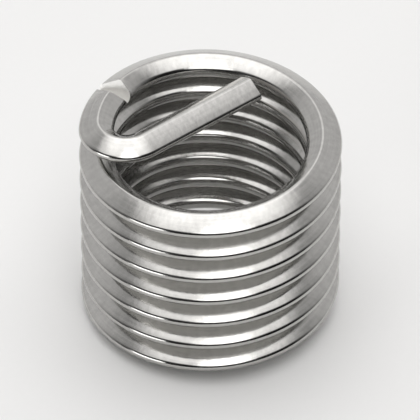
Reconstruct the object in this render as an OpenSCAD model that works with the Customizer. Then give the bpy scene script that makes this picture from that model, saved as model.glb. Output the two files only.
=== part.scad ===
// Helical wire thread insert, standing on its plain end with the driving tang on top.
// One length of rhombic wire is wound to a right-hand coil. Its last stretch is hooked
// inwards and crosses the bore as the tang that an installing tool pushes round.
// Millimetres. The coil's axis is Z, and the plain end's lowest point is at Z = 0.

/* [Thread] */
// Nominal diameter of the screw that the insert takes
screw_d = 14; // [12:0.5:24]
// Pitch of the thread, which is also the climb of one turn
pitch = 2; // [1.5:0.25:2.5]
// How much wider the loose coil is than the tapped hole that it is wound down into
spring_open = 0.9; // [0.3:0.1:2]
// Turns of the loose coil, from the plain end to the start of the hook
turns = 7.1; // [3.1:0.5:10.1]

/* [Wire] */
// Space left between two turns, measured between their ridges before rounding
turn_gap = 0.18; // [0.1:0.02:0.4]
// Rounding of the crest that faces the tapped hole
outer_round = 0.3; // [0.2:0.02:0.54]
// Rounding of the crest that faces the screw
inner_round = 0.5; // [0.2:0.02:0.54]
// Rounding of the two ridges that face the neighbouring turns
ridge_round = 0.28; // [0.06:0.02:0.36]

/* [Plain end] */
// How far the cut tip springs out past the rest of the coil
tip_spring = 0.35; // [0:0.05:0.6]
// Length of wire, along the coil, that springs out
tip_reach = 7; // [4:0.5:12]

/* [Tang] */
// Distance of the tang's middle line from the coil's axis
tang_offset = 1.75; // [0.5:0.05:3]
// Radius of the hook on the inside of its bend
hook_inside = 0.8; // [0.4:0.05:1]
// Clearance from the tang's cut end to the bore
tang_clearance = 0.85; // [0.2:0.05:2.5]
// Distance along the coil from the notch to the start of the hook
notch_before_hook = 3.8; // [2:0.1:6]
// Width of the break-off notch at the wire's upper ridge
notch_width = 1.4; // [0.8:0.1:2]
// Share of the wire's height that the notch cuts through, from above
notch_share = 0.7; // [0.3:0.05:0.8]

/* [Hidden] */
// Angle between the flanks of a metric thread
thread_angle = 60;
// Height of the thread's flank outside the nominal diameter, for each millimetre of pitch
thread_rise = 0.6495;
// Steps in one turn of the coil, in the hook and in each rounded corner of the wire
turn_steps = 36;
hook_steps = 12;
crest_steps = 4;
ridge_steps = 2;

// The wire's section is a rhombus with rounded corners. Each of these is half the corner's angle.
crest_half = thread_angle / 2;
ridge_half = 90 - crest_half;
sharp_h = (pitch - turn_gap) / 2;
sharp_w = sharp_h / tan(crest_half);
ridge_reach = sharp_h + ridge_round - set_back(ridge_round, ridge_half);
outer_reach = sharp_w + outer_round - set_back(outer_round, crest_half);
inner_reach = sharp_w + inner_round - set_back(inner_round, crest_half);

// The coil, measured on the wire's middle line
outer_r = screw_d / 2 + thread_rise * pitch + spring_open / 2;
coil_r = outer_r - outer_reach;
bore_r = coil_r - inner_reach;
start_z = ridge_reach;
end_z = start_z + turns * pitch;
tip_angle = tip_reach / coil_r * 180 / PI;

// The hook bends the wire until the tang lies along X
hook_r = hook_inside + inner_reach;
hook_y = tang_offset + hook_r;
hook_x = -sqrt(pow(coil_r - hook_r, 2) - hook_y * hook_y);
hook_angle = atan2(hook_y, hook_x);
hook_turn = 270 - hook_angle;
tang_end_x = sqrt(pow(bore_r - tang_clearance, 2) - pow(tang_offset + inner_reach, 2));
start_angle = hook_angle - turns * 360;
notch_angle = hook_angle - notch_before_hook / coil_r * 180 / PI;
notch_z = end_z - (hook_angle - notch_angle) / 360 * pitch;
notch_depth = notch_share * 2 * ridge_reach;
// How far the notch's cutter runs past each side of the wire
notch_overrun = 0.5;

// Points of a rounded corner, turning left from one heading to another
function corner(x, y, r, from, to, steps) =
    [for (i = [0 : steps])
        let (a = from + (to - from) * i / steps)
        [x + r * cos(a), y + r * sin(a)]];

// Distance from a sharp corner to the centre of its rounding
function set_back(r, half_angle) = r / sin(half_angle);

// The section as [outwards, upwards] from the wire's middle line
function wire_section() = concat(
    corner(outer_reach - outer_round, 0, outer_round, -ridge_half, ridge_half, crest_steps),
    corner(0, ridge_reach - ridge_round, ridge_round, ridge_half, 180 - ridge_half, ridge_steps),
    corner(inner_round - inner_reach, 0, inner_round, 180 - ridge_half, 180 + ridge_half, crest_steps),
    corner(0, ridge_round - ridge_reach, ridge_round, 180 + ridge_half, 360 - ridge_half, ridge_steps));

// Places along the wire: [x, y, z, angle that points outwards from the middle line]
function spring_out(turned) = tip_spring * pow(max(0, 1 - turned / tip_angle), 2);
function coil_place(turned) =
    let (a = start_angle + turned, r = coil_r + spring_out(turned))
    [r * cos(a), r * sin(a), start_z + turned / 360 * pitch, a];
function hook_place(turned) =
    let (a = hook_angle + turned)
    [hook_x + hook_r * cos(a), hook_y + hook_r * sin(a), end_z, a];
function wire_places() =
    let (coil_steps = ceil(turns * turn_steps))
    concat(
        [for (i = [0 : coil_steps]) coil_place(turns * 360 * i / coil_steps)],
        [for (i = [1 : hook_steps]) hook_place(hook_turn * i / hook_steps)],
        [[tang_end_x, tang_offset, end_z, 270]]);

// A closed solid through one copy of the section at each place
module sweep(section, places) {
    n = len(section);
    last = len(places) - 1;
    points = [for (p = places) for (s = section)
        [p[0] + s[0] * cos(p[3]), p[1] + s[0] * sin(p[3]), p[2] + s[1]]];
    walls = [for (k = [0 : last - 1]) for (i = [0 : n - 1])
        let (j = (i + 1) % n)
        [k * n + i, (k + 1) * n + i, (k + 1) * n + j, k * n + j]];
    caps = [[for (i = [0 : n - 1]) i], [for (i = [n - 1 : -1 : 0]) last * n + i]];
    polyhedron(points, concat(walls, caps));
}

// The V across the wire's top that lets the tang break off. Its cutter stands as far above
// the ridge as the notch is deep, so it is twice as wide there.
module notch() {
    ridge_z = notch_z + ridge_reach;
    rotate(notch_angle)
        translate([bore_r - notch_overrun, 0, ridge_z])
            rotate([90, 0, 90])
                linear_extrude(outer_reach + inner_reach + 2 * notch_overrun)
                    polygon([[0, -notch_depth], [notch_width, notch_depth], [-notch_width, notch_depth]]);
}

module wire_coil() {
    color("silver")
        difference() {
            sweep(wire_section(), wire_places());
            notch();
        }
}

wire_coil();
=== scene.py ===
"""Helical wire thread insert: one length of rhombic stainless wire on a pale studio floor.

The wire is wound with Geometry Nodes inside the fixed CAD frame. Sizes are in metres.
"""

import math
from types import SimpleNamespace

import bpy
from bpy.props import FloatProperty, FloatVectorProperty, IntProperty, PointerProperty
from bpy.types import Operator, Panel, PropertyGroup
from mathutils import Matrix, Vector


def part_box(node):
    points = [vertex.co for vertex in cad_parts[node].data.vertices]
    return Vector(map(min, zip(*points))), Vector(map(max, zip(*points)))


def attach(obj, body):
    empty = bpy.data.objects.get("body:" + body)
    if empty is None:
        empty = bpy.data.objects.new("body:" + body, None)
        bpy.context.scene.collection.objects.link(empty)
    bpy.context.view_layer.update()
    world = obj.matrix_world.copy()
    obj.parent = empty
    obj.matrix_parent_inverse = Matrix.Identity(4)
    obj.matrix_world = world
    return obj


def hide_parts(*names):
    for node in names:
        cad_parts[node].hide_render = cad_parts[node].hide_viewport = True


bl_info = {
    "name": "Wire Thread Insert",
    "version": (1, 0, 0),
    "blender": (4, 5, 0),
    "location": "3D View > Sidebar > Thread Insert",
    "description": "Winds a helical wire thread insert and sets it on a studio floor",
    "category": "Object",
}

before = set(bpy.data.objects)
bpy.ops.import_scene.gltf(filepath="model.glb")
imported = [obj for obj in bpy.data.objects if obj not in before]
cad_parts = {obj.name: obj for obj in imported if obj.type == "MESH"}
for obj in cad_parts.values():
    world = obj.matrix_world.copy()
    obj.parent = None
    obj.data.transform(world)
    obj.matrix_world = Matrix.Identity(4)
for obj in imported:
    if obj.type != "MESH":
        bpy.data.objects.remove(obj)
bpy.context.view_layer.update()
BODY = "root"
CAD_NODE = "wire_coil"
PIECE = "rhombic_wire"
COIL_LOW, COIL_HIGH = (Vector(corner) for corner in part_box(CAD_NODE))
COIL_HEIGHT = COIL_HIGH.z - COIL_LOW.z

MM = 0.001
MICRON = 0.000001

# Metric thread form: the flanks' angle, and the flank's height outside the nominal
# diameter for each unit of pitch
THREAD_ANGLE = math.radians(60)
THREAD_RISE = 0.6495

# How far the notch's cutter runs past each side of the wire
NOTCH_OVERRUN = 0.5 * MM

# Points of the path round the hook and along the tang
HOOK_POINTS = 48
TANG_POINTS = 24
# Order numbers kept for each stretch of the path, more than any stretch has points
STRETCH_ROOM = 100000.0

# Edges that turn more than this are cuts. They are shaded sharp and lightly rounded.
SHARP_ANGLE = math.radians(40)
EDGE_ROUND = 0.06 * MM

# How a face was made
DRAWN, SHEARED, PRESSED = 0, 1, 2

# Sizes of the marks in the steel's surface. The spacing of the drawing lines is a setting.
LINE_LENGTH = 9 * MM
LINE_DEPTH = 1.2 * MICRON
RIPPLE_WIDTH = 0.6 * MM
RIPPLE_SPACING = 0.36 * MM
RIPPLE_DEPTH = 5 * MICRON
FILM_SPACING = 3 * MM
TEAR_SPACING = 0.12 * MM
TEAR_LENGTH = 0.8 * MM
TEAR_DEPTH = 12 * MICRON
PRESS_GRAIN = 0.12 * MM
PRESS_DEPTH = 1.2 * MICRON

# Where most values of one noise texture lie, and of two added together
NOISE_LOW, NOISE_HIGH = 0.3, 0.7
SUM_LOW, SUM_HIGH = 0.7, 1.3

# What the drawing lines add to the wire's own roughness, from the smooth ones to the dull
# ones, and the most that the handling film adds
LINE_DULLING = (-0.03, 0.1)
FILM_DULLING = 0.06
# Roughness of the cut ends and of the notch's walls, from smooth spots to dull ones
SHEARED_ROUGHNESS = (0.3, 0.5)
PRESSED_ROUGHNESS = (0.38, 0.5)
# Darkest and palest shade of the drawn wire, as shares of its colour
DRAWN_SHADES = (0.87, 1.04)

# Paper of the floor: its half side, the size of its grain and the grain's darkest shade
FLOOR_HALF_SIDE = 2.0
PAPER_GRAIN = 0.4 * MM
PAPER_SHADE = 0.985

# Reflector card: its place from the coil's middle, to the camera's right, forward and up,
# then its width, its depth and its power in watts
CARD_RIGHT, CARD_FORWARD, CARD_UP = -0.385, -0.3, 0.095
CARD_WIDTH = 0.24
CARD_DEPTH = 0.2
CARD_POWER = 0.5


def linear(hex_colour):
    """Turns an sRGB hex colour into linear red, green and blue."""
    parts = [int(hex_colour[i:i + 2], 16) / 255 for i in (1, 3, 5)]
    return [c / 12.92 if c <= 0.04045 else ((c + 0.055) / 1.055) ** 2.4 for c in parts]


def add_node(tree, kind, inputs=None, **settings):
    """Adds a node, applies its settings, then links or sets its inputs."""
    node = tree.nodes.new(kind)
    for name, value in settings.items():
        setattr(node, name, value)
    for key, value in (inputs or {}).items():
        if isinstance(value, bpy.types.NodeSocket):
            tree.links.new(value, node.inputs[key])
        else:
            node.inputs[key].default_value = value
    return node


def link_to_scene(obj):
    """Puts an object into the scene."""
    bpy.context.scene.collection.objects.link(obj)


class WireSizes(PropertyGroup):
    """Sizes of the insert, as the CAD part has them."""

    screw_d: FloatProperty(
        name="Screw diameter", description="Nominal diameter of the screw that the insert takes",
        default=14 * MM, min=12 * MM, max=24 * MM, unit="LENGTH", precision=5)
    pitch: FloatProperty(
        name="Pitch", description="Climb of one turn",
        default=2 * MM, min=1.5 * MM, max=2.5 * MM, unit="LENGTH", precision=5)
    spring_open: FloatProperty(
        name="Spring opening", description="How much wider the loose coil is than its tapped hole",
        default=0.9 * MM, min=0.3 * MM, max=2 * MM, unit="LENGTH", precision=5)
    turn_gap: FloatProperty(
        name="Turn gap", description="Space between two turns, between their ridges before rounding",
        default=0.18 * MM, min=0.1 * MM, max=0.4 * MM, unit="LENGTH", precision=5)
    outer_round: FloatProperty(
        name="Outer crest rounding", description="Rounding of the crest that faces the tapped hole",
        default=0.3 * MM, min=0.2 * MM, max=0.54 * MM, unit="LENGTH", precision=5)
    inner_round: FloatProperty(
        name="Inner crest rounding", description="Rounding of the crest that faces the screw",
        default=0.5 * MM, min=0.2 * MM, max=0.54 * MM, unit="LENGTH", precision=5)
    ridge_round: FloatProperty(
        name="Ridge rounding", description="Rounding of the ridges that face the next turns",
        default=0.28 * MM, min=0.06 * MM, max=0.36 * MM, unit="LENGTH", precision=5)
    tip_spring: FloatProperty(
        name="Tip spring", description="How far the cut tip springs out past the coil",
        default=0.35 * MM, min=0, max=0.6 * MM, unit="LENGTH", precision=5)
    tip_reach: FloatProperty(
        name="Tip reach", description="Length of wire that springs out at the tip",
        default=7 * MM, min=4 * MM, max=12 * MM, unit="LENGTH", precision=5)
    tang_offset: FloatProperty(
        name="Tang offset", description="Distance of the tang's middle line from the coil's axis",
        default=1.75 * MM, min=0.5 * MM, max=3 * MM, unit="LENGTH", precision=5)
    hook_inside: FloatProperty(
        name="Hook inside radius", description="Radius of the hook on the inside of its bend",
        default=0.8 * MM, min=0.4 * MM, max=1 * MM, unit="LENGTH", precision=5)
    tang_clearance: FloatProperty(
        name="Tang clearance", description="Clearance from the tang's cut end to the bore",
        default=0.85 * MM, min=0.2 * MM, max=2.5 * MM, unit="LENGTH", precision=5)
    notch_before_hook: FloatProperty(
        name="Notch before hook", description="Distance along the coil from the notch to the hook",
        default=3.8 * MM, min=2 * MM, max=6 * MM, unit="LENGTH", precision=5)
    notch_width: FloatProperty(
        name="Notch width", description="Width of the break-off notch at the wire's upper ridge",
        default=1.4 * MM, min=0.8 * MM, max=2 * MM, unit="LENGTH", precision=5)
    notch_share: FloatProperty(
        name="Notch share", description="Share of the wire's height that the notch cuts through, from above",
        default=0.7, min=0.3, max=0.8, subtype="FACTOR")
    turn_steps: IntProperty(
        name="Steps a turn", description="Rings of the mesh in one turn of the coil",
        default=160, min=40, max=240)
    corner_steps: IntProperty(
        name="Steps a corner", description="Points in each rounded corner of the section",
        default=8, min=3, max=12)


class WireFinish(PropertyGroup):
    """Colours and surface of the steel."""

    steel: FloatVectorProperty(
        name="Steel", description="Reflected colour of the drawn wire",
        default=linear("#BCBBB8"), subtype="COLOR", size=3, min=0, max=1)
    sheared_steel: FloatVectorProperty(
        name="Sheared steel", description="Reflected colour of the cut ends",
        default=linear("#BDBBB8"), subtype="COLOR", size=3, min=0, max=1)
    # The notch's pale colour is partly the burnished steel's own and partly a painted highlight that
    # brightens its walls
    pressed_steel_and_highlight: FloatVectorProperty(
        name="Pressed steel", description="Reflected colour of the notch's burnished walls",
        default=linear("#D8D7D4"), subtype="COLOR", size=3, min=0, max=1)
    roughness: FloatProperty(
        name="Roughness", description="Roughness of the drawn wire between its lines",
        default=0.09, min=0.02, max=1, subtype="FACTOR")
    line_spacing: FloatProperty(
        name="Line spacing", description="Distance between two drawing lines",
        default=0.2 * MM, min=0.01 * MM, max=1 * MM, unit="LENGTH", precision=5)


class StageSettings(PropertyGroup):
    """Camera, floor and light."""

    azimuth: FloatProperty(
        name="Azimuth", description="Direction of the camera's right hand round the coil's axis",
        default=math.radians(-38.7), subtype="ANGLE")
    elevation: FloatProperty(
        name="Elevation", description="Height of the camera above the floor, as an angle",
        default=math.radians(42.3), min=0, max=math.radians(90), subtype="ANGLE")
    distance: FloatProperty(
        name="Distance", description="Distance from the camera to the middle of the coil",
        default=0.36, min=0.05, max=5, unit="LENGTH")
    fill: FloatProperty(
        name="Fill", description="Share of the picture's width that the coil's diameter takes",
        default=0.62, min=0.1, max=1, subtype="FACTOR")
    floor: FloatVectorProperty(
        name="Floor", description="Colour of the studio floor",
        default=linear("#ECECEB"), subtype="COLOR", size=3, min=0, max=1)
    room_light: FloatVectorProperty(
        name="Room light", description="Colour of the light that the room gives",
        default=linear("#FFFEFE"), subtype="COLOR", size=3, min=0, max=1)


def wire_measures(sizes):
    """Works out the wire's section and path from the driving sizes."""
    m = SimpleNamespace()
    crest_half = THREAD_ANGLE / 2
    ridge_half = math.pi / 2 - crest_half
    m.sharp_h = (sizes.pitch - sizes.turn_gap) / 2
    m.sharp_w = m.sharp_h / math.tan(crest_half)
    m.ridge_reach = m.sharp_h + sizes.ridge_round * (1 - 1 / math.sin(ridge_half))
    outer_reach = m.sharp_w + sizes.outer_round * (1 - 1 / math.sin(crest_half))
    inner_reach = m.sharp_w + sizes.inner_round * (1 - 1 / math.sin(crest_half))

    outer_r = sizes.screw_d / 2 + THREAD_RISE * sizes.pitch + sizes.spring_open / 2
    m.coil_r = outer_r - outer_reach
    m.bore_r = m.coil_r - inner_reach
    m.climb = COIL_HEIGHT - 2 * m.ridge_reach
    m.turns = m.climb / sizes.pitch
    m.start_z = COIL_LOW.z + m.ridge_reach
    m.end_z = m.start_z + m.climb

    m.hook_r = sizes.hook_inside + inner_reach
    hook_y = sizes.tang_offset + m.hook_r
    hook_x = -math.sqrt((m.coil_r - m.hook_r) ** 2 - hook_y ** 2)
    m.hook_centre = Vector((hook_x, hook_y, m.end_z))
    m.hook_angle = math.atan2(hook_y, hook_x)
    m.hook_turn = math.radians(270) - m.hook_angle
    m.start_angle = m.hook_angle - m.turns * math.tau
    m.tang_start = Vector((hook_x, sizes.tang_offset, m.end_z))
    tang_far_side = sizes.tang_offset + inner_reach
    tang_end_x = math.sqrt((m.bore_r - sizes.tang_clearance) ** 2 - tang_far_side ** 2)
    m.tang_end = Vector((tang_end_x, sizes.tang_offset, m.end_z))

    notch_turn = sizes.notch_before_hook / m.coil_r
    m.notch_angle = m.hook_angle - notch_turn
    m.notch_depth = sizes.notch_share * 2 * m.ridge_reach
    m.notch_length = outer_reach + inner_reach + 2 * NOTCH_OVERRUN
    ridge_z = m.end_z - notch_turn / math.tau * sizes.pitch + m.ridge_reach
    m.notch_place = Vector((m.bore_r + m.notch_length / 2 - NOTCH_OVERRUN, 0, ridge_z))
    return m


def wire_tree_inputs(sizes, m):
    """Names, socket types and values of the winding tree's inputs."""
    number, whole, place = "NodeSocketFloat", "NodeSocketInt", "NodeSocketVector"
    return {
        "Coil Radius": (number, m.coil_r),
        "Turns": (number, m.turns),
        "Climb": (number, m.climb),
        "Start Height": (number, m.start_z),
        "Start Angle": (number, m.start_angle),
        "Tip Spring": (number, sizes.tip_spring),
        "Tip Reach": (number, sizes.tip_reach),
        "Hook Centre": (place, m.hook_centre),
        "Hook Radius": (number, m.hook_r),
        "Hook Angle": (number, m.hook_angle),
        "Hook Turn": (number, m.hook_turn),
        "Tang Start": (place, m.tang_start),
        "Tang End": (place, m.tang_end),
        "Half Width": (number, m.sharp_w),
        "Half Height": (number, m.sharp_h),
        "Outer Rounding": (number, sizes.outer_round),
        "Inner Rounding": (number, sizes.inner_round),
        "Ridge Rounding": (number, sizes.ridge_round),
        "Turn Steps": (whole, sizes.turn_steps),
        "Corner Steps": (whole, sizes.corner_steps),
        "Notch Angle": (number, m.notch_angle),
        "Notch Place": (place, m.notch_place),
        "Notch Length": (number, m.notch_length),
        "Notch Depth": (number, m.notch_depth),
        "Notch Width": (number, sizes.notch_width),
    }


def path_points(tree, curve, first_order, drop_first):
    """Turns a stretch of the path into points that carry their order along the wire."""
    points = add_node(
        tree, "GeometryNodeCurveToPoints", {"Curve": curve}, mode="EVALUATED").outputs["Points"]
    index = add_node(tree, "GeometryNodeInputIndex").outputs[0]
    order = add_node(tree, "ShaderNodeMath", {0: index, 1: first_order}, operation="ADD").outputs[0]
    points = add_node(
        tree, "GeometryNodeStoreNamedAttribute",
        {"Geometry": points, "Name": "order", "Value": order}, data_type="FLOAT").outputs[0]
    if not drop_first:
        return points
    is_first = add_node(
        tree, "FunctionNodeCompare", {2: index, 3: 0}, data_type="INT", operation="EQUAL").outputs[0]
    return add_node(
        tree, "GeometryNodeDeleteGeometry", {"Geometry": points, "Selection": is_first}).outputs[0]


def coil_curve(tree, size):
    """The helix, with its cut tip sprung outwards."""
    spiral = add_node(tree, "GeometryNodeCurveSpiral", {
        "Resolution": size["Turn Steps"], "Rotations": size["Turns"],
        "Start Radius": size["Coil Radius"], "End Radius": size["Coil Radius"],
        "Height": size["Climb"], "Reverse": True}).outputs[0]
    lift = add_node(tree, "ShaderNodeCombineXYZ", {"Z": size["Start Height"]}).outputs[0]
    turn = add_node(tree, "ShaderNodeCombineXYZ", {"Z": size["Start Angle"]}).outputs[0]
    placed = add_node(
        tree, "GeometryNodeTransform", {"Geometry": spiral, "Translation": lift, "Rotation": turn}).outputs[0]

    along = add_node(tree, "GeometryNodeSplineParameter").outputs["Length"]
    nearness = add_node(tree, "ShaderNodeMapRange", {
        "Value": along, "From Min": 0.0, "From Max": size["Tip Reach"],
        "To Min": 1.0, "To Max": 0.0}).outputs[0]
    squared = add_node(tree, "ShaderNodeMath", {0: nearness, 1: 2.0}, operation="POWER").outputs[0]
    spring = add_node(
        tree, "ShaderNodeMath", {0: squared, 1: size["Tip Spring"]}, operation="MULTIPLY").outputs[0]
    position = add_node(tree, "GeometryNodeInputPosition").outputs[0]
    flat = add_node(
        tree, "ShaderNodeVectorMath", {0: position, 1: (1.0, 1.0, 0.0)}, operation="MULTIPLY").outputs[0]
    outwards = add_node(tree, "ShaderNodeVectorMath", {0: flat}, operation="NORMALIZE").outputs[0]
    offset = add_node(
        tree, "ShaderNodeVectorMath", {0: outwards, "Scale": spring}, operation="SCALE").outputs[0]
    return add_node(tree, "GeometryNodeSetPosition", {"Geometry": placed, "Offset": offset}).outputs[0]


def hook_curve(tree, size):
    """The bend that turns the wire inwards."""
    arc = add_node(tree, "GeometryNodeCurveArc", {
        "Resolution": HOOK_POINTS, "Radius": size["Hook Radius"],
        "Start Angle": size["Hook Angle"], "Sweep Angle": size["Hook Turn"]}, mode="RADIUS").outputs[0]
    return add_node(
        tree, "GeometryNodeTransform", {"Geometry": arc, "Translation": size["Hook Centre"]}).outputs[0]


def tang_curve(tree, size):
    """The straight tang across the bore."""
    line = add_node(tree, "GeometryNodeCurvePrimitiveLine", {
        "Start": size["Tang Start"], "End": size["Tang End"]}).outputs[0]
    return add_node(
        tree, "GeometryNodeResampleCurve", {"Curve": line, "Count": TANG_POINTS}, mode="COUNT").outputs[0]


def wire_path(tree, size):
    """One curve from the plain tip to the tang's cut end, with its length stored on it."""
    stretches = [coil_curve(tree, size), hook_curve(tree, size), tang_curve(tree, size)]
    join = add_node(tree, "GeometryNodeJoinGeometry")
    for number, stretch in enumerate(stretches):
        points = path_points(tree, stretch, number * STRETCH_ROOM, drop_first=number > 0)
        tree.links.new(points, join.inputs[0])
    order = add_node(
        tree, "GeometryNodeInputNamedAttribute", {"Name": "order"}, data_type="FLOAT").outputs["Attribute"]
    curve = add_node(
        tree, "GeometryNodePointsToCurves", {"Points": join.outputs[0], "Weight": order}).outputs[0]
    curve = add_node(tree, "GeometryNodeRemoveAttribute", {"Geometry": curve, "Name": "order"}).outputs[0]
    curve = add_node(tree, "GeometryNodeSetCurveNormal", {"Curve": curve}, mode="Z_UP").outputs[0]
    length = add_node(tree, "GeometryNodeSplineParameter").outputs["Length"]
    return add_node(
        tree, "GeometryNodeStoreNamedAttribute",
        {"Geometry": curve, "Name": "along", "Value": length}, data_type="FLOAT").outputs[0]


def wire_section(tree, size):
    """The rounded rhombus of the rolled wire. The sweep lays its X outwards and its Y down."""
    corners = {}
    for name, axis, socket, sign in (
            ("Point 1", "X", "Half Width", 1.0), ("Point 2", "Y", "Half Height", 1.0),
            ("Point 3", "X", "Half Width", -1.0), ("Point 4", "Y", "Half Height", -1.0)):
        reach = add_node(tree, "ShaderNodeMath", {0: size[socket], 1: sign}, operation="MULTIPLY").outputs[0]
        corners[name] = add_node(tree, "ShaderNodeCombineXYZ", {axis: reach}).outputs[0]
    rhombus = add_node(
        tree, "GeometryNodeCurvePrimitiveQuadrilateral", corners, mode="POINTS").outputs[0]
    # The points in turn are the outer crest, a ridge, the inner crest and the other ridge
    index = add_node(tree, "GeometryNodeInputIndex").outputs[0]
    rounding = add_node(tree, "GeometryNodeIndexSwitch", {
        "Index": index, "0": size["Outer Rounding"], "1": size["Ridge Rounding"]}, data_type="FLOAT")
    rounding.index_switch_items.new()
    rounding.index_switch_items.new()
    tree.links.new(size["Inner Rounding"], rounding.inputs["2"])
    tree.links.new(size["Ridge Rounding"], rounding.inputs["3"])
    rounded = add_node(tree, "GeometryNodeFilletCurve", {
        "Curve": rhombus, "Count": size["Corner Steps"], "Radius": rounding.outputs[0]},
        mode="POLY").outputs[0]
    position = add_node(tree, "GeometryNodeInputPosition").outputs[0]
    return add_node(
        tree, "GeometryNodeStoreNamedAttribute",
        {"Geometry": rounded, "Name": "section", "Value": position}, data_type="FLOAT_VECTOR").outputs[0]


def marked_faces(tree, geometry, material, mark):
    """Gives every face a material, and a mark that says how the face was made."""
    covered = add_node(
        tree, "GeometryNodeSetMaterial", {"Geometry": geometry, "Material": material}).outputs[0]
    return add_node(
        tree, "GeometryNodeStoreNamedAttribute",
        {"Geometry": covered, "Name": "making", "Value": mark}, data_type="INT", domain="FACE").outputs[0]


def notch_wedge(tree, size):
    """A prism laid across the wire with one edge down, that cuts the break-off notch."""
    prism = add_node(
        tree, "GeometryNodeMeshCylinder", {"Vertices": 3, "Radius": 1.0, "Depth": 1.0}).outputs[0]
    # The prism is 1.5 long from its point to its back, and its back reaches sin 60 to each
    # side. It stands as far above the ridge as it cuts into the wire, so it is twice as
    # wide there, and its middle lies a third of the notch's depth above the ridge.
    height = add_node(
        tree, "ShaderNodeMath", {0: size["Notch Depth"], 1: 2 / 1.5}, operation="MULTIPLY").outputs[0]
    width = add_node(
        tree, "ShaderNodeMath", {0: size["Notch Width"], 1: math.sin(math.radians(60))},
        operation="DIVIDE").outputs[0]
    scale = add_node(
        tree, "ShaderNodeCombineXYZ", {"X": height, "Y": width, "Z": size["Notch Length"]}).outputs[0]
    rise = add_node(
        tree, "ShaderNodeMath", {0: size["Notch Depth"], 1: 1 / 3}, operation="MULTIPLY").outputs[0]
    shift = add_node(tree, "ShaderNodeCombineXYZ", {"Z": rise}).outputs[0]
    place = add_node(
        tree, "ShaderNodeVectorMath", {0: size["Notch Place"], 1: shift}, operation="ADD").outputs[0]
    laid = add_node(tree, "GeometryNodeTransform", {
        "Geometry": prism, "Translation": place, "Rotation": (0.0, math.pi / 2, 0.0),
        "Scale": scale}).outputs[0]
    turn = add_node(tree, "ShaderNodeCombineXYZ", {"Z": size["Notch Angle"]}).outputs[0]
    turned = add_node(tree, "GeometryNodeTransform", {"Geometry": laid, "Rotation": turn}).outputs[0]
    return marked_faces(tree, turned, size["Pressed"], PRESSED)


def build_wire_tree(inputs):
    """Builds the Geometry Nodes tree that sweeps the section along the path."""
    tree = bpy.data.node_groups.new("Wind wire insert", "GeometryNodeTree")
    for name, (kind, value) in inputs.items():
        tree.interface.new_socket(name, in_out="INPUT", socket_type=kind)
    tree.interface.new_socket("Geometry", in_out="OUTPUT", socket_type="NodeSocketGeometry")
    size = add_node(tree, "NodeGroupInput").outputs

    swept = add_node(tree, "GeometryNodeCurveToMesh", {
        "Curve": wire_path(tree, size), "Profile Curve": wire_section(tree, size),
        "Fill Caps": True}).outputs[0]
    # Only the two cut ends are faces of more than four corners
    corners = add_node(tree, "GeometryNodeInputMeshFaceNeighbors").outputs["Vertex Count"]
    is_cut_end = add_node(
        tree, "FunctionNodeCompare", {2: corners, 3: 4}, data_type="INT",
        operation="GREATER_THAN").outputs[0]
    mark = add_node(
        tree, "GeometryNodeSwitch", {"Switch": is_cut_end, "False": DRAWN, "True": SHEARED},
        input_type="INT").outputs[0]
    wire = marked_faces(tree, swept, size["Drawn"], mark)
    notched = add_node(
        tree, "GeometryNodeMeshBoolean", {0: wire, 1: notch_wedge(tree, size)},
        operation="DIFFERENCE", solver="MANIFOLD").outputs[0]

    angle = add_node(tree, "GeometryNodeInputMeshEdgeAngle").outputs["Unsigned Angle"]
    is_sharp = add_node(
        tree, "FunctionNodeCompare", {0: angle, 1: SHARP_ANGLE}, data_type="FLOAT",
        operation="GREATER_THAN").outputs[0]
    shaded = add_node(tree, "GeometryNodeSetShadeSmooth", {
        "Geometry": notched, "Selection": is_sharp, "Shade Smooth": False}, domain="EDGE").outputs[0]
    final = add_node(tree, "GeometryNodeRealizeInstances", {"Geometry": shaded}).outputs[0]
    making = add_node(
        tree, "GeometryNodeInputNamedAttribute", {"Name": "making"}, data_type="INT").outputs["Attribute"]
    for mark, material in ((DRAWN, "Drawn"), (SHEARED, "Sheared"), (PRESSED, "Pressed")):
        is_marked = add_node(
            tree, "FunctionNodeCompare", {2: making, 3: mark}, data_type="INT", operation="EQUAL").outputs[0]
        final = add_node(tree, "GeometryNodeSetMaterial", {
            "Geometry": final, "Selection": is_marked, "Material": size[material]}).outputs[0]
    add_node(tree, "NodeGroupOutput", {"Geometry": final})
    return tree


def new_material(name):
    """Starts a node material and returns it with its tree and shader."""
    material = bpy.data.materials.new(name)
    material.use_nodes = True
    return material, material.node_tree, material.node_tree.nodes["Principled BSDF"]


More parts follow.
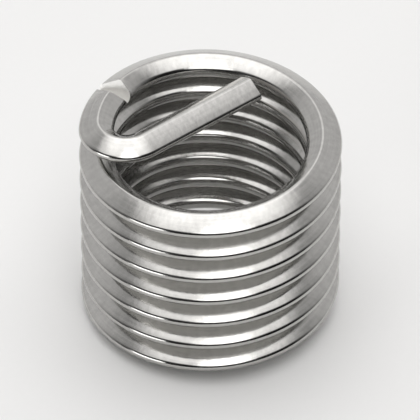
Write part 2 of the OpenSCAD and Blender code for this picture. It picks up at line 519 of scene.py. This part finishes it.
def drawn_steel(finish):
    """Stainless steel wire, cold drawn and rolled: a satin shine, with fine lines along the wire."""
    material, tree, shader = new_material("stainless steel 304, cold drawn")
    section = add_node(tree, "ShaderNodeAttribute", attribute_name="section").outputs["Vector"]
    along = add_node(tree, "ShaderNodeAttribute", attribute_name="along").outputs["Fac"]
    parts = add_node(tree, "ShaderNodeSeparateXYZ", {0: section}).outputs
    place = add_node(tree, "ShaderNodeCombineXYZ", {"X": parts["X"], "Y": parts["Y"], "Z": along}).outputs[0]

    # Drawing lines: narrow across the wire and long along it. Real ones are finer, down
    # to a few microns, and are drawn as coarse as the picture can show.
    stretch = 1 / finish.line_spacing
    line_place = add_node(tree, "ShaderNodeVectorMath", {
        0: place, 1: (stretch, stretch, 1 / LINE_LENGTH)}, operation="MULTIPLY").outputs[0]
    lines = add_node(tree, "ShaderNodeTexNoise", {
        "Vector": line_place, "Scale": 1.0, "Detail": 4.0, "Roughness": 0.6}).outputs["Fac"]

    # Chatter of the rolls: faint ripples across the wire
    ripple_place = add_node(tree, "ShaderNodeVectorMath", {
        0: place, 1: (1 / RIPPLE_WIDTH, 1 / RIPPLE_WIDTH, 1 / RIPPLE_SPACING)},
        operation="MULTIPLY").outputs[0]
    ripples = add_node(tree, "ShaderNodeTexNoise", {
        "Vector": ripple_place, "Scale": 1.0, "Detail": 2.0, "Roughness": 0.5}).outputs["Fac"]

    # Handling film: soft patches a few millimetres wide that dull the gloss
    body_place = add_node(tree, "ShaderNodeTexCoord").outputs["Object"]
    film = add_node(tree, "ShaderNodeTexNoise", {
        "Vector": body_place, "Scale": 1 / FILM_SPACING, "Detail": 2.0, "Roughness": 0.5}).outputs["Fac"]

    smooth, dull = (finish.roughness + change for change in LINE_DULLING)
    line_roughness = add_node(tree, "ShaderNodeMapRange", {
        "Value": lines, "From Min": NOISE_LOW, "From Max": NOISE_HIGH,
        "To Min": smooth, "To Max": dull}).outputs[0]
    film_roughness = add_node(tree, "ShaderNodeMapRange", {
        "Value": film, "From Min": NOISE_LOW, "From Max": NOISE_HIGH,
        "To Min": 0.0, "To Max": FILM_DULLING}).outputs[0]
    roughness = add_node(
        tree, "ShaderNodeMath", {0: line_roughness, 1: film_roughness}, operation="ADD").outputs[0]
    tree.links.new(roughness, shader.inputs["Roughness"])

    # Lines and ripples both show a little in the colour, so that the wire looks satin
    marks = add_node(tree, "ShaderNodeMath", {0: lines, 1: ripples}, operation="ADD").outputs[0]
    paleness = add_node(tree, "ShaderNodeMapRange", {
        "Value": marks, "From Min": SUM_LOW, "From Max": SUM_HIGH, "To Min": 0.0, "To Max": 1.0}).outputs[0]
    dark, pale = (tuple(share * c for c in finish.steel) + (1.0,) for share in DRAWN_SHADES)
    tone = add_node(tree, "ShaderNodeMix", {0: paleness, 6: dark, 7: pale}, data_type="RGBA").outputs[2]
    tree.links.new(tone, shader.inputs["Base Color"])
    shader.inputs["Metallic"].default_value = 1.0

    line_bump = add_node(tree, "ShaderNodeBump", {
        "Strength": 1.0, "Distance": LINE_DEPTH, "Height": lines}).outputs[0]
    bump = add_node(tree, "ShaderNodeBump", {
        "Strength": 1.0, "Distance": RIPPLE_DEPTH, "Height": ripples, "Normal": line_bump}).outputs[0]
    tree.links.new(bump, shader.inputs["Normal"])
    return material


def sheared_steel(finish):
    """Stainless steel, sheared across: torn and dull, so the cut ends look plain grey."""
    material, tree, shader = new_material("stainless steel 304, sheared")
    place = add_node(tree, "ShaderNodeTexCoord").outputs["Object"]
    # Tear marks run down the cut, so they are narrow sideways and long in height
    tear_place = add_node(tree, "ShaderNodeMapping", {
        "Vector": place, "Scale": (1 / TEAR_SPACING, 1 / TEAR_SPACING, 1 / TEAR_LENGTH)}).outputs[0]
    tears = add_node(tree, "ShaderNodeTexNoise", {
        "Vector": tear_place, "Scale": 1.0, "Detail": 3.0, "Roughness": 0.6}).outputs["Fac"]
    smooth, dull = SHEARED_ROUGHNESS
    roughness = add_node(tree, "ShaderNodeMapRange", {
        "Value": tears, "From Min": NOISE_LOW, "From Max": NOISE_HIGH,
        "To Min": smooth, "To Max": dull}).outputs[0]
    bump = add_node(tree, "ShaderNodeBump", {
        "Strength": 1.0, "Distance": TEAR_DEPTH, "Height": tears}).outputs[0]
    shader.inputs["Base Color"].default_value = (*finish.sheared_steel, 1.0)
    shader.inputs["Metallic"].default_value = 1.0
    tree.links.new(roughness, shader.inputs["Roughness"])
    tree.links.new(bump, shader.inputs["Normal"])
    return material


def pressed_steel_and_highlight(finish):
    """Stainless steel, burnished by the wedge that pressed the notch, with a soft sheen. Its colour is set
    paler than the drawn wire's, a painted highlight that brightens the notch's walls.
    """
    material, tree, shader = new_material("stainless steel 304, pressed, painted highlight")
    place = add_node(tree, "ShaderNodeTexCoord").outputs["Object"]
    grain = add_node(tree, "ShaderNodeTexNoise", {
        "Vector": place, "Scale": 1 / PRESS_GRAIN, "Detail": 2.0, "Roughness": 0.5}).outputs["Fac"]
    smooth, dull = PRESSED_ROUGHNESS
    roughness = add_node(tree, "ShaderNodeMapRange", {
        "Value": grain, "From Min": NOISE_LOW, "From Max": NOISE_HIGH,
        "To Min": smooth, "To Max": dull}).outputs[0]
    bump = add_node(tree, "ShaderNodeBump", {
        "Strength": 1.0, "Distance": PRESS_DEPTH, "Height": grain}).outputs[0]
    # The pale colour paints a highlight on the notch's walls, on top of the burnished steel's real sheen from
    # its roughness
    shader.inputs["Base Color"].default_value = (*finish.pressed_steel_and_highlight, 1.0)
    shader.inputs["Metallic"].default_value = 1.0
    tree.links.new(roughness, shader.inputs["Roughness"])
    tree.links.new(bump, shader.inputs["Normal"])
    return material


def wound_mesh(sizes, finish):
    """Runs the winding tree and returns its result as a plain mesh."""
    inputs = wire_tree_inputs(sizes, wire_measures(sizes))
    for name, make in (("Drawn", drawn_steel), ("Sheared", sheared_steel), ("Pressed", pressed_steel_and_highlight)):
        inputs[name] = ("NodeSocketMaterial", make(finish))
    tree = build_wire_tree(inputs)
    holder = bpy.data.objects.new("winding", bpy.data.meshes.new("winding"))
    link_to_scene(holder)
    winding = holder.modifiers.new("winding", "NODES")
    winding.node_group = tree
    for item in tree.interface.items_tree:
        if item.in_out == "INPUT":
            winding[item.identifier] = inputs[item.name][1]
    edges = holder.modifiers.new("edges", "BEVEL")
    edges.limit_method = "ANGLE"
    edges.angle_limit = SHARP_ANGLE
    edges.width = EDGE_ROUND
    edges.segments = 2
    evaluated = holder.evaluated_get(bpy.context.evaluated_depsgraph_get())
    mesh = bpy.data.meshes.new_from_object(evaluated)
    bpy.data.objects.remove(holder)
    bpy.data.node_groups.remove(tree)
    return mesh


class INSERT_OT_wind_wire(Operator):
    """Winds the rhombic wire into the coil, notches it and hooks its tang across the bore."""

    bl_idname = "insert.wind_wire"
    bl_label = "Wind Wire"

    def execute(self, context):
        scene = context.scene
        mesh = wound_mesh(scene.insert_sizes, scene.insert_finish)
        mesh.name = PIECE
        wire = bpy.data.objects.new(PIECE, mesh)
        link_to_scene(wire)
        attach(wire, BODY)
        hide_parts(CAD_NODE)
        return {"FINISHED"}


def add_floor(settings):
    """A plain pale floor under the coil, of matt studio paper: no gloss and a barely seen grain."""
    material, tree, shader = new_material("matt white studio paper")
    place = add_node(tree, "ShaderNodeTexCoord").outputs["Object"]
    grain = add_node(tree, "ShaderNodeTexNoise", {
        "Vector": place, "Scale": 1 / PAPER_GRAIN, "Detail": 2.0}).outputs["Fac"]
    dim = tuple(PAPER_SHADE * c for c in settings.floor) + (1.0,)
    tone = add_node(
        tree, "ShaderNodeMix", {0: grain, 6: dim, 7: (*settings.floor, 1.0)}, data_type="RGBA").outputs[2]
    tree.links.new(tone, shader.inputs["Base Color"])
    shader.inputs["Roughness"].default_value = 0.9
    shader.inputs["Specular IOR Level"].default_value = 0.1
    mesh = bpy.data.meshes.new("studio_floor")
    signs = ((-1, -1), (1, -1), (1, 1), (-1, 1))
    mesh.from_pydata([(x * FLOOR_HALF_SIDE, y * FLOOR_HALF_SIDE, 0) for x, y in signs], [], [(0, 1, 2, 3)])
    mesh.materials.append(material)
    floor = bpy.data.objects.new("studio_floor", mesh)
    floor.location.z = COIL_LOW.z
    link_to_scene(floor)


def level_directions(settings):
    """The camera's right hand and its way forward, both level with the floor."""
    right = Vector((math.cos(settings.azimuth), math.sin(settings.azimuth), 0))
    return right, Vector((-right.y, right.x, 0))


def add_card(settings, middle):
    """A soft white card at the camera's left, turned to the coil, that lights the notch's walls."""
    right, forward = level_directions(settings)
    data = bpy.data.lights.new("reflector_card", "AREA")
    data.shape = "RECTANGLE"
    data.size = CARD_WIDTH
    data.size_y = CARD_DEPTH
    data.energy = CARD_POWER
    card = bpy.data.objects.new("reflector_card", data)
    way = right * CARD_RIGHT + forward * CARD_FORWARD + Vector((0, 0, CARD_UP))
    away = way.normalized()
    across = (right - away * right.dot(away)).normalized()
    turn = Matrix((across, away.cross(across), away)).transposed().to_4x4()
    card.matrix_world = Matrix.Translation(middle + way) @ turn
    link_to_scene(card)


def add_room(settings):
    """A room that is pale beyond the coil and dark behind the camera, with soft lamps overhead."""
    right, forward = level_directions(settings)
    world = bpy.data.worlds.new("studio_room")
    bpy.context.scene.world = world
    world.use_nodes = True
    tree = world.node_tree
    direction = add_node(tree, "ShaderNodeTexCoord").outputs["Generated"]
    height = add_node(tree, "ShaderNodeSeparateXYZ", {0: direction}).outputs["Z"]
    farness, rightness = (
        add_node(
            tree, "ShaderNodeVectorMath", {0: direction, 1: way},
            operation="DOT_PRODUCT").outputs["Value"]
        for way in (forward, right))

    # Each part of the room's light changes softly between two values of one measure
    light = {}
    for name, measure, start, end, at_start, at_end in (
            ("walls", farness, -0.35, 0.45, 0.02, 0.74),
            ("ceiling", height, 0.68, 0.85, 0.0, 0.86),
            ("far ceiling", farness, -0.4, -0.1, 0.0, 1.0),
            ("right ceiling", rightness, -0.7, -0.1, 0.85, 1.0)):
        light[name] = add_node(tree, "ShaderNodeMapRange", {
            "Value": measure, "From Min": start, "From Max": end, "To Min": at_start, "To Max": at_end},
            interpolation_type="SMOOTHSTEP").outputs[0]
    for name in ("far ceiling", "right ceiling"):
        light["ceiling"] = add_node(
            tree, "ShaderNodeMath", {0: light["ceiling"], 1: light[name]}, operation="MULTIPLY").outputs[0]
    strength = add_node(
        tree, "ShaderNodeMath", {0: light["walls"], 1: light["ceiling"]}, operation="MAXIMUM").outputs[0]

    # Soft lamps: the way to each, the angles from it at which the lamp has faded out and is
    # full, in degrees, and its strength
    up = Vector((0, 0, 1))
    for lamp, faded, full, power in (
            (up - forward * 0.02 - right * 0.015, 40, 16, 1.4),
            (up - forward * 0.64 + right * 0.1, 21, 10, 2.8),
            (up * 0.66 + forward * 0.75, 24, 8, 0.5)):
        nearness = add_node(
            tree, "ShaderNodeVectorMath", {0: direction, 1: lamp.normalized()},
            operation="DOT_PRODUCT").outputs["Value"]
        glow = add_node(tree, "ShaderNodeMapRange", {
            "Value": nearness, "From Min": math.cos(math.radians(faded)),
            "From Max": math.cos(math.radians(full)), "To Min": 0.0, "To Max": power},
            interpolation_type="SMOOTHSTEP").outputs[0]
        strength = add_node(tree, "ShaderNodeMath", {0: strength, 1: glow}, operation="ADD").outputs[0]
    tree.links.new(strength, tree.nodes["Background"].inputs["Strength"])
    tree.nodes["Background"].inputs["Color"].default_value = (*settings.room_light, 1.0)


def add_camera(settings, middle):
    """A long lens at the photograph's viewing angle."""
    forward = level_directions(settings)[1]
    back = Vector((0, 0, math.sin(settings.elevation))) - forward * math.cos(settings.elevation)
    data = bpy.data.cameras.new("camera")
    camera = bpy.data.objects.new("camera", data)
    camera.location = middle + back * settings.distance
    camera.rotation_euler = (-back).to_track_quat("-Z", "Y").to_euler()
    link_to_scene(camera)
    shown_width = (COIL_HIGH.x - COIL_LOW.x) / settings.fill
    data.sensor_fit = "HORIZONTAL"
    data.lens = data.sensor_width * settings.distance / shown_width
    data.clip_start = 0.01
    bpy.context.scene.camera = camera


class INSERT_OT_set_stage(Operator):
    """Lays the studio floor and sets up the light and the camera."""

    bl_idname = "insert.set_stage"
    bl_label = "Set Stage"

    def execute(self, context):
        settings = context.scene.insert_stage
        middle = (COIL_LOW + COIL_HIGH) / 2
        add_floor(settings)
        add_card(settings, middle)
        add_room(settings)
        add_camera(settings, middle)
        context.scene.view_settings.view_transform = "Standard"
        return {"FINISHED"}


class VIEW3D_PT_thread_insert(Panel):
    """Sizes, finish and stage of the wire thread insert."""

    bl_label = "Wire Thread Insert"
    bl_idname = "VIEW3D_PT_thread_insert"
    bl_space_type = "VIEW_3D"
    bl_region_type = "UI"
    bl_category = "Thread Insert"

    def draw(self, context):
        for group, operator in (("insert_sizes", None), ("insert_finish", "insert.wind_wire"),
                                ("insert_stage", "insert.set_stage")):
            column = self.layout.column(align=True)
            settings = getattr(context.scene, group)
            for name in settings.__annotations__:
                column.prop(settings, name)
            if operator:
                column.operator(operator)


CLASSES = (WireSizes, WireFinish, StageSettings, INSERT_OT_wind_wire, INSERT_OT_set_stage,
           VIEW3D_PT_thread_insert)


def register():
    for cls in CLASSES:
        bpy.utils.register_class(cls)
    bpy.types.Scene.insert_sizes = PointerProperty(type=WireSizes)
    bpy.types.Scene.insert_finish = PointerProperty(type=WireFinish)
    bpy.types.Scene.insert_stage = PointerProperty(type=StageSettings)


def unregister():
    del bpy.types.Scene.insert_stage
    del bpy.types.Scene.insert_finish
    del bpy.types.Scene.insert_sizes
    for cls in reversed(CLASSES):
        bpy.utils.unregister_class(cls)


def main():
    register()
    bpy.ops.insert.wind_wire()
    bpy.ops.insert.set_stage()


if __name__ == "__main__":
    main()
